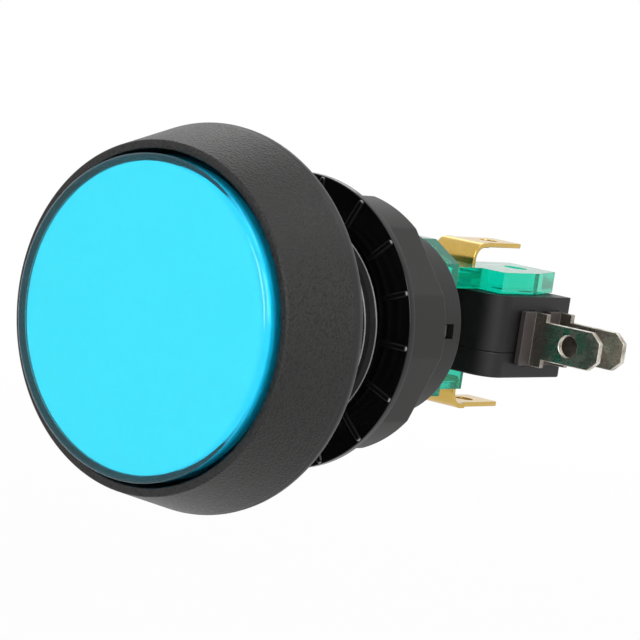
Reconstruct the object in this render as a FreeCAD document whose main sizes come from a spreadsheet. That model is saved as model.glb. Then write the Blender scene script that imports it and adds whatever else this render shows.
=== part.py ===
import FreeCAD
import Part
import Sketcher
import math
import os

# Illuminated arcade push button for a panel hole.
# The button's axis is Y: the lens faces -Y and the switch lies at +Y.
# Z is up across the switch's thickness, and the silver switch tabs point to +X.
# The origin is on the axis, in the plane of the bezel's back face, which seats on the panel.

DIMENSIONS = {
    # Bezel and barrel
    "bezel_radius": 22.5,
    "bezel_front_radius": 20.05,
    "bezel_height": 11.3,
    "bezel_lip": 1.0,
    "bezel_rim": 1.6,
    "bezel_back_round": 1.4,
    "cup_floor": 2.0,
    "barrel_length": 33.4,
    "barrel_radius": 11.75,
    "barrel_end_chamfer": 0.4,
    "thread_height": 1.25,
    "thread_root_height": 0.7,
    "thread_length": 26.0,
    "thread_end_step": 0.6,
    "guide_ledge": 0.6,
    "guide_length": 8.0,
    "barrel_wall": 1.25,
    "bayonet_count": 3,
    "bayonet_angle": 4.0,
    "bayonet_window_width": 1.8,
    "bayonet_window_length": 3.2,
    "bayonet_window_setback": 1.7,
    # Lens, diffuser and plunger
    "lens_clearance": 0.5,
    "lens_proud": 1.65,
    "lens_thickness": 1.1,
    "lens_wall": 1.0,
    "lens_height": 7.0,
    "lens_edge_width": 0.7,
    "lens_edge_drop": 0.6,
    "disc_clearance": 0.1,
    "diffuser_thickness": 1.0,
    "tray_thickness": 1.6,
    "guide_clearance": 0.3,
    "guide_wall": 1.2,
    "guide_tail": 12.0,
    "barb_height": 0.45,
    "barb_length": 2.0,
    "barb_width": 5.0,
    "barb_clearance": 0.15,
    "leg_thickness": 1.5,
    "leg_width": 4.0,
    "leg_inset": 0.3,
    "press_gap": 0.1,
    # Return spring
    "spring_offset": 3.0,
    "spring_wire": 0.8,
    "spring_turns": 2.5,
    "spring_clearance": 0.05,
    # Mounting nut
    "nut_position": 14.6,
    "nut_height": 10.0,
    "nut_flange_width": 1.85,
    "nut_flange_thickness": 1.2,
    "nut_wall": 2.65,
    "nut_flat_depth": 0.65,
    "nut_flat_count": 6,
    "nut_flat_angle": 37.5,
    "nut_bore_clearance": 0.15,
    "nut_rib_count": 17,
    "nut_rib_angle": 20.5,
    "nut_rib_width": 0.8,
    "nut_rib_height": 0.4,
    "nut_rib_margin": 0.35,
    # Lamp holder
    "plug_clearance": 0.2,
    "plug_length": 6.4,
    "socket_wall": 1.5,
    "socket_length": 7.0,
    "socket_clearance": 0.1,
    "flange_thickness": 2.6,
    "flange_half_width": 8.1,
    "flange_top": 11.0,
    "flange_corner_width": 4.0,
    "flange_corner_height": 2.5,
    "lug_clearance": 0.15,
    "lug_height": 0.55,
    "arm_clearance": 0.1,
    "arm_thickness": 2.65,
    "neck_half_width": 6.2,
    "plate_half_width": 9.6,
    "plate_inner_edge": 0.6,
    "neck_length": 7.8,
    "neck_tail": 2.1,
    "plate_length": 14.0,
    "plate_corner_width": 1.8,
    "plate_corner_length": 6.2,
    "lower_arm_half_width": 4.0,
    "lower_arm_length": 10.4,
    "leg_slot_clearance": 0.35,
    "peg_radius": 1.5,
    "peg_length": 1.3,
    "peg_clearance": 0.1,
    "peg_offset": 5.0,
    "peg_setback": 5.0,
    "peg_mark_depth": 0.3,
    # Lamp and its brass terminals
    "strip_thickness": 0.6,
    "strip_width": 6.3,
    "strip_clearance": 0.08,
    "strip_setback": 3.0,
    "strip_turn_gap": 1.4,
    "strip_exit_gap": 10.3,
    "strip_bend": 0.5,
    "lamp_tab_bend": 1.6,
    "lamp_tab_rise": 2.4,
    "lamp_tab_width": 4.8,
    "lamp_tab_shoulder": 2.8,
    "lamp_tab_length": 11.1,
    "lamp_tab_corner": 0.25,
    "lamp_tab_hole_radius": 1.2,
    "lamp_tab_hole_setback": 4.2,
    "wedge_thickness": 2.6,
    "wedge_width": 8.8,
    "wedge_length": 12.0,
    "lamp_collar_radius": 4.8,
    "lamp_collar_length": 4.0,
    "lamp_collar_gap": 0.2,
    "dome_radius": 4.0,
    "dome_length": 10.0,
    "lead_radius": 0.25,
    "lead_length": 8.0,
    "lead_offset": 1.5,
    "lead_clearance": 0.03,
    # Switch body
    "switch_gap": 5.5,
    "switch_depth": 15.9,
    "switch_length": 27.8,
    "switch_thickness": 10.3,
    "switch_tab_end": 11.0,
    "switch_parting": 3.25,
    "switch_wall": 1.5,
    "switch_back_wall": 0.7,
    "switch_corner": 3.0,
    "pin_radius": 1.5,
    "pin_proud": 3.0,
    "pin_clearance": 0.3,
    "pin_collar_radius": 2.4,
    "pin_collar_thickness": 1.0,
    "pin_collar_gap": 0.15,
    # Switch terminals and contacts
    "terminal_thickness": 0.8,
    "terminal_clearance": 0.08,
    "front_terminal_depth": 7.7,
    "rear_terminal_depth": 13.2,
    "common_terminal_inset": 2.8,
    "terminal_root_depth": 3.0,
    "terminal_shoulder": 2.6,
    "terminal_base_width": 6.8,
    "terminal_foot_length": 2.6,
    "tab_width": 4.8,
    "tab_length": 8.2,
    "tab_corner_length": 1.3,
    "tab_corner_width": 1.2,
    "tab_hole_radius": 1.35,
    "tab_hole_position": 3.6,
    "contact_reach": 4.2,
    "contact_arm_width": 4.0,
    "contact_arm_overlap": 0.6,
    "contact_arm_margin": 2.0,
    "contact_radius": 1.2,
    "contact_height": 0.6,
    "contact_neck_width": 1.0,
    "contact_gap": 0.6,
    "contact_clearance": 0.05,
    "rear_contact_jog": 1.3,
    "common_anchor_depth": 10.5,
    "blade_thickness": 0.3,
    "blade_width": 4.0,
    "blade_anchor_depth": 11.5,
    "blade_clearance": 0.06,
    "blade_flat": 2.2,
    "blade_rise": 2.4,
}

SHEET_NAME = "Dimensions"
HALF_TURN = 180.0
FULL_TURN = 360.0

doc = FreeCAD.newDocument("arcade_button")
sheet = doc.addObject("Spreadsheet::Sheet", SHEET_NAME)
for row, (alias, number) in enumerate(DIMENSIONS.items(), start=1):
    sheet.set(f"A{row}", alias)
    sheet.set(f"B{row}", str(number))
    sheet.setAlias(f"B{row}", alias)
doc.recompute()


class Size:
    """A number together with the expression on the dimension sheet that gives it."""

    def __init__(self, value, text):
        self.value = float(value)
        self.text = text

    def _join(self, other, sign, value):
        return Size(value, f"({self.text} {sign} {as_size(other).text})")

    def __add__(self, other):
        return self._join(other, "+", self.value + as_size(other).value)

    def __radd__(self, other):
        return as_size(other) + self

    def __sub__(self, other):
        return self._join(other, "-", self.value - as_size(other).value)

    def __rsub__(self, other):
        return as_size(other) - self

    def __mul__(self, other):
        return self._join(other, "*", self.value * as_size(other).value)

    def __rmul__(self, other):
        return as_size(other) * self

    def __truediv__(self, other):
        return self._join(other, "/", self.value / as_size(other).value)

    def __neg__(self):
        return Size(-self.value, f"(-1 * {self.text})")


def as_size(number):
    """A Size as it is, and a plain number as a Size that is the same everywhere."""
    return number if isinstance(number, Size) else Size(number, repr(float(number)))


class Sheet:
    """Each driving dimension of the sheet as a Size, by its alias."""

    def __getattr__(self, alias):
        return Size(sheet.get(alias), f"{SHEET_NAME}.{alias}")


d = Sheet()
ZERO = as_size(0)

# Radii that follow from the bezel and the barrel
cup_radius = d.bezel_front_radius - d.bezel_lip
lens_radius = cup_radius - d.lens_clearance
disc_radius = lens_radius - d.lens_wall - d.disc_clearance
thread_radius = d.barrel_radius + d.thread_height
thread_root_radius = d.barrel_radius + d.thread_root_height
plug_bore_radius = d.barrel_radius - d.barrel_wall
plug_radius = plug_bore_radius - d.plug_clearance
guide_radius = plug_bore_radius - d.guide_ledge
guide_outer_radius = guide_radius - d.guide_clearance
guide_inner_radius = guide_outer_radius - d.guide_wall
spring_radius = guide_outer_radius + d.spring_offset
leg_offset = guide_outer_radius - d.leg_inset - d.leg_thickness / 2
nut_bore_radius = thread_radius + d.nut_bore_clearance
nut_body_radius = nut_bore_radius + d.nut_wall
nut_flange_radius = nut_body_radius + d.nut_flange_width
nut_flat_distance = nut_body_radius - d.nut_flat_depth

# Places along the axis, from the lens to the holder's flange
lens_face = -(d.bezel_height + d.lens_proud)
lens_back = lens_face + d.lens_thickness
diffuser_back = lens_back + d.diffuser_thickness
tray_back = diffuser_back + d.tray_thickness
cup_floor_face = -d.cup_floor
plug_front = d.barrel_length - d.plug_length
socket_front = plug_front - d.socket_length
wedge_back = socket_front + d.wedge_length
strip_front = socket_front + d.strip_setback
holder_flange_back = d.barrel_length + d.flange_thickness

# Places along the axis, behind the holder's flange
strip_turn = holder_flange_back + d.strip_turn_gap
strip_exit = holder_flange_back + d.strip_exit_gap
lamp_tab_end = strip_exit + d.lamp_tab_length
plate_front = holder_flange_back + d.neck_length
plate_back = plate_front + d.plate_length
neck_back = strip_exit + d.neck_tail
peg_position = plate_back - d.peg_setback
lower_arm_back = holder_flange_back + d.lower_arm_length
switch_front = holder_flange_back + d.switch_gap
switch_back = switch_front + d.switch_depth
pin_tip = switch_front - d.pin_proud
leg_tip = pin_tip - d.press_gap
front_terminal_position = switch_front + d.front_terminal_depth
rear_terminal_position = switch_front + d.rear_terminal_depth
common_anchor = switch_front + d.common_anchor_depth
blade_anchor = switch_front + d.blade_anchor_depth

# Places across the switch
switch_far_end = d.switch_tab_end - d.switch_length
common_terminal_position = -(switch_far_end + d.common_terminal_inset)
terminal_root = d.switch_tab_end - d.terminal_root_depth
contact_position = terminal_root - d.contact_reach
switch_top = d.switch_thickness / 2
switch_bottom = -switch_top
parting_height = switch_bottom + d.switch_parting
cavity_half_height = switch_top - d.switch_wall
arm_inner = switch_top + d.arm_clearance
arm_outer = arm_inner + d.arm_thickness
lamp_tab_height = arm_outer + d.lamp_tab_rise

# Layers from the lamp's wedge out to the socket wall
wedge_half = d.wedge_thickness / 2
lead_height = wedge_half + d.lead_clearance + d.lead_radius
strip_socket_height = lead_height + d.lead_radius + d.lead_clearance + d.strip_thickness / 2
socket_half_height = strip_socket_height + d.strip_thickness / 2 + d.strip_clearance
strip_arm_height = arm_inner + d.arm_thickness / 2

# The snap blade and what it meets
front_contact_face = front_terminal_position + d.terminal_thickness / 2 + d.contact_height
moving_contact_front = front_contact_face + d.contact_clearance
blade_middle = moving_contact_front + d.contact_height + d.contact_clearance + d.blade_thickness / 2
moving_contact_back = blade_middle * 2 - moving_contact_front
rear_contact_face = moving_contact_back + d.contact_gap
rear_arm_middle = rear_contact_face + d.contact_height + d.terminal_thickness / 2


def bind(feature, prop, size):
    """Ties a property of a feature to the dimension sheet."""
    feature.setExpression(prop, as_size(size).text)


def new_body(label):
    """An empty body at the origin, whose label names its file."""
    body = doc.addObject("PartDesign::Body", label)
    body.Label = label
    body.Placement = FreeCAD.Placement()
    return body


def origin_feature(body, role):
    """One of a body's own origin planes or axes, by its role."""
    return next(item for item in body.Origin.OriginFeatures if item.Role == role)


def new_sketch(body, name, plane, offset=None):
    """A sketch on one of the body's origin planes, moved along the plane's normal by the offset."""
    sketch = body.newObject("Sketcher::SketchObject", f"{body.Name}_{name}")
    sketch.AttachmentSupport = [(origin_feature(body, plane), "")]
    sketch.MapMode = "FlatFace"
    if offset is not None:
        bind(sketch, "AttachmentOffset.Base.z", offset)
    return sketch


def pin_point(sketch, geometry, end, point):
    """Holds one end of a line, or a circle's centre, at a pair of sizes."""
    axis_of = {"DistanceX": -2, "DistanceY": -1}
    for kind, size in zip(("DistanceX", "DistanceY"), point):
        size = as_size(size)
        if size is ZERO or size.text == ZERO.text:
            sketch.addConstraint(Sketcher.Constraint("PointOnObject", geometry, end, axis_of[kind]))
            continue
        index = sketch.addConstraint(Sketcher.Constraint(kind, -1, 1, geometry, end, size.value))
        sketch.setExpression(f"Constraints[{index}]", size.text)


def add_outline(sketch, points):
    """A closed outline of straight sides through the points, each held by its two sizes."""
    places = [FreeCAD.Vector(as_size(a).value, as_size(b).value, 0) for a, b in points]
    first = sketch.GeometryCount
    for start, end in zip(places, places[1:] + places[:1]):
        sketch.addGeometry(Part.LineSegment(start, end), False)
    count = len(points)
    for number in range(count):
        following = first + (number + 1) % count
        sketch.addConstraint(Sketcher.Constraint("Coincident", first + number, 2, following, 1))
    for number, point in enumerate(points):
        pin_point(sketch, first + number, 1, point)


def add_circle(sketch, centre, radius):
    """A circle held by its centre and radius."""
    place = FreeCAD.Vector(as_size(centre[0]).value, as_size(centre[1]).value, 0)
    circle = Part.Circle(place, FreeCAD.Vector(0, 0, 1), as_size(radius).value)
    geometry = sketch.addGeometry(circle, False)
    index = sketch.addConstraint(Sketcher.Constraint("Radius", geometry, as_size(radius).value))
    sketch.setExpression(f"Constraints[{index}]", as_size(radius).text)
    pin_point(sketch, geometry, 3, centre)


def rectangle(low, high):
    """The four corners of an upright rectangle."""
    return [(low[0], low[1]), (high[0], low[1]), (high[0], high[1]), (low[0], high[1])]


def bent_strip(path, thickness):
    """The outline of a strip of even thickness along a path of square bends."""
    def heading(start, end):
        across = as_size(end[0]).value - as_size(start[0]).value
        along = as_size(end[1]).value - as_size(start[1]).value
        length = math.hypot(across, along)
        return round(across / length), round(along / length)

    headings = [heading(start, end) for start, end in zip(path, path[1:])]
    before = headings[:1] + headings
    after = headings + headings[-1:]
    sides = {1: [], -1: []}
    for side, corners in sides.items():
        for point, arriving, leaving in zip(path, before, after):
            normals = {(-arriving[1], arriving[0]), (-leaving[1], leaving[0])}
            shift = [sum(normal[axis] for normal in normals) * side for axis in (0, 1)]
            corners.append(tuple(as_size(place) + thickness * (step / 2) for place, step in zip(point, shift)))
    return sides[1] + sides[-1][::-1]


def revolve(body, name, points):
    """A solid of revolution about the button's axis from an outline of radius and place along Y."""
    sketch = new_sketch(body, f"{name}_profile", "XY_Plane")
    add_outline(sketch, points)
    feature = body.newObject("PartDesign::Revolution", f"{body.Name}_{name}")
    feature.Profile = sketch
    feature.ReferenceAxis = (sketch, ["V_Axis"])
    feature.Angle = FULL_TURN
    doc.recompute()
    return feature


def require_change(feature, before, sign):
    """Stops the build if a feature added or removed nothing."""
    change = (feature.Shape.Volume - before) * sign
    if change <= 0:
        raise RuntimeError(f"{feature.Name} left the volume as it was")


def extrude(body, kind, name, plane, offset, length, outlines=(), circles=(), both_ways=False, reverse=False):
    """A pad or pocket of outlines and circles on an origin plane moved along its normal."""
    sketch = new_sketch(body, f"{name}_sketch", plane, offset)
    for points in outlines:
        add_outline(sketch, points)
    for centre, radius in circles:
        add_circle(sketch, centre, radius)
    before = body.Shape.Volume if body.Tip and body.Tip.isDerivedFrom("PartDesign::Feature") else 0.0
    feature = body.newObject(f"PartDesign::{kind}", f"{body.Name}_{name}")
    feature.Profile = sketch
    feature.SideType = "Symmetric" if both_ways else "One side"
    feature.Reversed = reverse
    bind(feature, "Length", length)
    doc.recompute()
    require_change(feature, before, 1 if kind == "Pad" else -1)
    return feature


def pad(body, name, plane, offset, length, **shape):
    return extrude(body, "Pad", name, plane, offset, length, **shape)


def pocket(body, name, plane, offset, length, **shape):
    return extrude(body, "Pocket", name, plane, offset, length, **shape)


def pad_back(body, name, start, length, **shape):
    """A pad from a place on the Y axis towards the rear."""
    return pad(body, name, "XZ_Plane", -as_size(start), length, reverse=True, **shape)


def pocket_back(body, name, start, length, **shape):
    """A pocket from a place on the Y axis towards the rear."""
    return pocket(body, name, "XZ_Plane", -as_size(start), length, **shape)


def pattern(body, feature, count):
    """Repeats a feature evenly about the button's axis."""
    polar = body.newObject("PartDesign::PolarPattern", f"{feature.Name}_pattern")
    polar.Originals = [feature]
    polar.Axis = (origin_feature(body, "Y_Axis"), [""])
    polar.Angle = FULL_TURN
    bind(polar, "Occurrences", count)
    body.Tip = polar
    doc.recompute()
    return polar


def turn_sketch(sketch, axis, angle):
    """Turns a sketch about one of its own axes that lies along the button's axis."""
    sketch.AttachmentOffset = FreeCAD.Placement(
        sketch.AttachmentOffset.Base, FreeCAD.Rotation(axis, angle.value))
    bind(sketch, "AttachmentOffset.Rotation.Angle", angle)
    doc.recompute()


def edges_at(feature, test):
    """The names of a feature's edges whose middle point and curve pass a test."""
    names = []
    for number, edge in enumerate(feature.Shape.Edges, start=1):
        middle = edge.valueAt((edge.FirstParameter + edge.LastParameter) / 2)
        if test(edge, middle):
            names.append(f"Edge{number}")
    if not names:
        raise RuntimeError(f"no edge of {feature.Name} passes the test")
    return names


def dress(body, kind, name, feature, test, prop, size):
    """A fillet or chamfer on the edges that pass a test."""
    dressing = body.newObject(f"PartDesign::{kind}", f"{body.Name}_{name}")
    dressing.Base = (feature, edges_at(feature, test))
    bind(dressing, prop, size)
    doc.recompute()
    return dressing


def fillet(body, name, feature, test, radius):
    return dress(body, "Fillet", name, feature, test, "Radius", radius)


def corner_edge(axes, places):
    """A test for straight edges that lie at given places on two axes."""
    def test(edge, middle):
        if not isinstance(edge.Curve, Part.Line):
            return False
        ends = [vertex.Point for vertex in edge.Vertexes]
        return any(
            all(math.isclose(getattr(end, axis), place.value, abs_tol=EDGE_TOLERANCE)
                for end in ends for axis, place in zip(axes, spot))
            for spot in places
        )
    return test


EDGE_TOLERANCE = 1e-4

# The middle of a quarter round lies this share of its radius inside the corner, on each side
EASE_MIDDLE = 1 - math.sqrt(0.5)

# Axes of a sketch about which a positive turn goes from +X towards +Z
PLANE_NORMAL = FreeCAD.Vector(0, 0, 1)
TOWARDS_FRONT = FreeCAD.Vector(-1, 0, 0)


def eased_corner(radius, place, ease, along):
    """Three outline points that soften an outer corner of a turned piece, from its wall to its end face."""
    inset = ease * EASE_MIDDLE
    return [
        (radius, place + ease * along),
        (radius - inset, place + inset * along),
        (radius - ease, place),
    ]


def bezel_housing():
    """Conical bezel and barrel in one moulding: a cup for the lens, a stepped bore and bayonet windows."""
    body = new_body("bezel_housing")
    front = -d.bezel_height
    revolve(body, "shell", [
        (cup_radius, front),
        (d.bezel_front_radius, front),
        (d.bezel_radius, -d.bezel_rim),
        *eased_corner(d.bezel_radius, ZERO, d.bezel_back_round, -1),
        (thread_root_radius, ZERO),
        (thread_root_radius, d.thread_length),
        (d.barrel_radius, d.thread_length + d.thread_end_step),
        (d.barrel_radius, d.barrel_length - d.barrel_end_chamfer),
        (d.barrel_radius - d.barrel_end_chamfer / 2, d.barrel_length),
        (plug_bore_radius, d.barrel_length),
        (plug_bore_radius, d.guide_length),
        (guide_radius, d.guide_length),
        (guide_radius, cup_floor_face),
        (cup_radius, cup_floor_face),
    ])
    window_back = d.barrel_length - d.bayonet_window_setback
    window = pocket(
        body, "bayonet_window", "YZ_Plane", None, d.bezel_radius,
        outlines=[rectangle(
            (window_back - d.bayonet_window_length, -d.bayonet_window_width / 2),
            (window_back, d.bayonet_window_width / 2),
        )],
        reverse=True,
    )
    turn_sketch(window.Profile[0], TOWARDS_FRONT, d.bayonet_angle)
    pattern(body, window, d.bayonet_count)
    return body


def lens_cap():
    """Flat cap with a softened edge and a skirt that runs in the bezel's cup."""
    body = new_body("lens_cap")
    inner = lens_radius - d.lens_wall
    skirt_end = lens_face + d.lens_height
    revolve(body, "cap", [
        (ZERO, lens_face),
        (lens_radius - d.lens_edge_width, lens_face),
        (lens_radius - d.lens_edge_width * EASE_MIDDLE, lens_face + d.lens_edge_drop * EASE_MIDDLE),
        (lens_radius, lens_face + d.lens_edge_drop),
        (lens_radius, skirt_end),
        (inner, skirt_end),
        (inner, lens_back),
        (ZERO, lens_back),
    ])
    return body


def diffuser_disc():
    """Thin disc between the lens and the plunger's tray."""
    body = new_body("diffuser_disc")
    revolve(body, "disc", [
        (ZERO, lens_back),
        (disc_radius, lens_back),
        (disc_radius, diffuser_back),
        (ZERO, diffuser_back),
    ])
    return body


def plunger():
    """Tray under the lens with a guide tube, two snap barbs and the leg that presses the switch's pin."""
    body = new_body("plunger")
    barb_front = d.guide_length + d.barb_clearance
    revolve(body, "tube", [
        (guide_inner_radius, diffuser_back),
        (disc_radius, diffuser_back),
        (disc_radius, tray_back),
        (guide_outer_radius, tray_back),
        (guide_outer_radius, d.guide_tail),
        (guide_inner_radius, d.guide_tail),
    ])
    barb_half = d.barb_width / 2
    barb_top = guide_radius + d.barb_height - d.guide_clearance / 2
    for side, name in ((1, "upper_barb"), (-1, "lower_barb")):
        root = (guide_inner_radius + d.guide_wall / 2) * side
        pad(
            body, name, "YZ_Plane", None, barb_half * 2, both_ways=True,
            outlines=[[
                (barb_front, root),
                (barb_front, barb_crown(barb_top, barb_half) * side),
                (barb_front + d.barb_length / 2, barb_crown(barb_top, barb_half) * side),
                (barb_front + d.barb_length, guide_outer_radius * side - barb_sink(barb_half) * side),
                (barb_front + d.barb_length, root),
            ]],
        )
    leg_root = d.guide_tail - d.barb_length
    pad_back(
        body, "leg", leg_root, leg_tip - leg_root,
        outlines=[rectangle(
            (-(leg_offset + d.leg_thickness / 2), -d.leg_width / 2),
            (-(leg_offset - d.leg_thickness / 2), d.leg_width / 2),
        )],
    )
    return body


def barb_sink(half_width):
    """How far a flat of this half width lies inside the guide tube's round wall."""
    radius = guide_outer_radius.value
    drop = radius - math.sqrt(radius ** 2 - half_width.value ** 2)
    return half_width * (drop / half_width.value)


def barb_crown(radius, half_width):
    """Height of a flat-topped barb whose two corners reach the radius."""
    height = math.sqrt(radius.value ** 2 - half_width.value ** 2)
    return radius * (height / radius.value)


SPRING_STEPS = 20
WIRE_SIDES = 6


def spring_section(radius, wire_radius, step, pitch):
    """One section of the spring's wire, a given number of steps along its coil."""
    turn = 2 * math.pi * step / SPRING_STEPS
    outward = FreeCAD.Vector(math.cos(turn), math.sin(turn), 0)
    upward = FreeCAD.Vector(0, 0, 1)
    centre = outward * radius + upward * (pitch * step / SPRING_STEPS)
    angles = [2 * math.pi * (side + 0.5) / WIRE_SIDES for side in range(WIRE_SIDES)]
    corners = [
        centre + outward * (wire_radius * math.cos(angle)) + upward * (wire_radius * math.sin(angle))
        for angle in angles
    ]
    return Part.makePolygon(corners + corners[:1])


def return_spring():
    """Open coil spring of round wire between the cup's floor and the plunger's tray."""
    wire_radius = d.spring_wire.value / 2
    clearance = d.spring_clearance.value
    low = tray_back.value + wire_radius + clearance
    high = cup_floor_face.value - wire_radius - clearance
    radius = spring_radius.value
    pitch = (high - low) / d.spring_turns.value
    steps = round(d.spring_turns.value * SPRING_STEPS)
    sections = [spring_section(radius, wire_radius, step, pitch) for step in range(steps + 1)]
    coil = Part.makeLoft(sections, True, True)
    spring = doc.addObject("Part::Feature", "return_spring")
    spring.Label = "return_spring"
    spring.Shape = coil
    turn = FreeCAD.Rotation(FreeCAD.Vector(1, 0, 0), -HALF_TURN / 2)
    spring.Placement = FreeCAD.Placement(FreeCAD.Vector(0, low, 0), turn)
    return spring


def mounting_nut():
    """Flanged nut: a round body with shallow flats, and raised radial ribs on the clamping face."""
    body = new_body("mounting_nut")
    face = d.nut_position
    back = face + d.nut_height
    flange_back = face + d.nut_flange_thickness
    revolve(body, "blank", [
        (nut_bore_radius, face),
        (nut_flange_radius, face),
        (nut_flange_radius, flange_back),
        (nut_body_radius, flange_back),
        (nut_body_radius, back),
        (nut_bore_radius, back),
    ])
    cut = pocket_back(
        body, "flat", flange_back, d.nut_height,
        outlines=[rectangle((nut_flat_distance, -nut_body_radius), (nut_flange_radius, nut_body_radius))],
    )
    turn_sketch(cut.Profile[0], PLANE_NORMAL, d.nut_flat_angle)
    pattern(body, cut, d.nut_flat_count)
    rib_depth = d.nut_rib_height
    rib = pad_back(
        body, "rib", face - rib_depth, rib_depth + d.nut_flange_thickness / 2,
        outlines=[rectangle(
            (nut_bore_radius + d.nut_rib_margin, -d.nut_rib_width / 2),
            (nut_flange_radius - d.nut_rib_margin / 2, d.nut_rib_width / 2),
        )],
    )
    turn_sketch(rib.Profile[0], PLANE_NORMAL, d.nut_rib_angle)
    pattern(body, rib, d.nut_rib_count)
    return body


def lamp_holder():
    """Clear moulding: bayonet plug and socket, a flange behind the barrel, and two arms that clasp the switch."""
    body = new_body("lamp_holder")
    revolve(body, "plug", [
        (ZERO, plug_front),
        (plug_radius, plug_front),
        (plug_radius, d.barrel_length),
        (ZERO, d.barrel_length),
    ])
    flange_corner = d.flange_half_width - d.flange_corner_width
    flange_side = d.flange_top - d.flange_corner_height
    pad_back(
        body, "flange", d.barrel_length, d.flange_thickness,
        outlines=[[
            (-d.flange_half_width, -arm_outer),
            (d.flange_half_width, -arm_outer),
            (d.flange_half_width, flange_side),
            (flange_corner, d.flange_top),
            (-flange_corner, d.flange_top),
            (-d.flange_half_width, flange_side),
        ]],
    )
    boss_half_width = d.wedge_width / 2 + d.socket_clearance + d.socket_wall
    boss_half_height = socket_half_height + d.socket_wall
    pad_back(
        body, "socket_boss", socket_front, d.socket_length,
        outlines=[rectangle((-boss_half_width, -boss_half_height), (boss_half_width, boss_half_height))],
    )
    half_width = d.bayonet_window_width / 2 - d.lug_clearance
    window_back = d.barrel_length - d.bayonet_window_setback
    lug_front = window_back - d.bayonet_window_length + d.lug_clearance
    lug = pad(
        body, "lug", "YZ_Plane", None, plug_radius + d.lug_height,
        outlines=[rectangle((lug_front, -half_width), (window_back - d.lug_clearance, half_width))],
    )
    turn_sketch(lug.Profile[0], TOWARDS_FRONT, d.bayonet_angle)
    pattern(body, lug, d.bayonet_count)
    corner = d.plate_half_width - d.plate_corner_width
    corner_start = plate_back - d.plate_corner_length
    pad(
        body, "upper_arm", "XY_Plane", arm_inner, d.arm_thickness,
        outlines=[[
            (-d.neck_half_width, d.barrel_length),
            (d.neck_half_width, d.barrel_length),
            (d.neck_half_width, plate_front),
            (d.plate_half_width, plate_front),
            (d.plate_half_width, corner_start),
            (corner, plate_back),
            (d.plate_inner_edge, plate_back),
            (d.plate_inner_edge, neck_back),
            (-d.neck_half_width, neck_back),
        ]],
    )
    pad(
        body, "lower_arm", "XY_Plane", -arm_outer, d.arm_thickness,
        outlines=[rectangle(
            (-d.lower_arm_half_width, d.barrel_length), (d.lower_arm_half_width, lower_arm_back))],
    )
    peg = [((d.peg_offset, peg_position), d.peg_radius)]
    pad(body, "peg", "XY_Plane", arm_inner - d.peg_length, d.peg_length * 2, circles=peg)
    pocket(body, "peg_mark", "XY_Plane", arm_outer, d.peg_mark_depth, circles=peg)
    socket_half_width = d.wedge_width / 2 + d.socket_clearance
    pocket_back(
        body, "socket", socket_front, holder_flange_back - socket_front,
        outlines=[rectangle((-socket_half_width, -socket_half_height), (socket_half_width, socket_half_height))],
    )
    leg_gap = d.leg_slot_clearance
    pocket_back(
        body, "leg_slot", plug_front, holder_flange_back - plug_front,
        outlines=[rectangle(
            (-(leg_offset + d.leg_thickness / 2 + leg_gap), -(d.leg_width / 2 + leg_gap)),
            (-(leg_offset - d.leg_thickness / 2 - leg_gap), d.leg_width / 2 + leg_gap),
        )],
    )
    strip_half = d.strip_width / 2 + d.strip_clearance
    slot_half = d.strip_thickness / 2 + d.strip_clearance
    groove_top = strip_arm_height + slot_half
    for side, name in ((1, "upper"), (-1, "lower")):
        pocket(
            body, f"{name}_channel", "YZ_Plane", None, strip_half * 2, both_ways=True,
            outlines=[[
                (holder_flange_back, (arm_inner - d.arm_clearance) * side),
                (holder_flange_back, groove_top * side),
                (strip_exit - slot_half, groove_top * side),
                (strip_exit - slot_half, (arm_outer + d.arm_clearance) * side),
                (strip_exit + slot_half, (arm_outer + d.arm_clearance) * side),
                (strip_exit + slot_half, (arm_inner - d.arm_clearance) * side),
            ]],
        )
    return body


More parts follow.
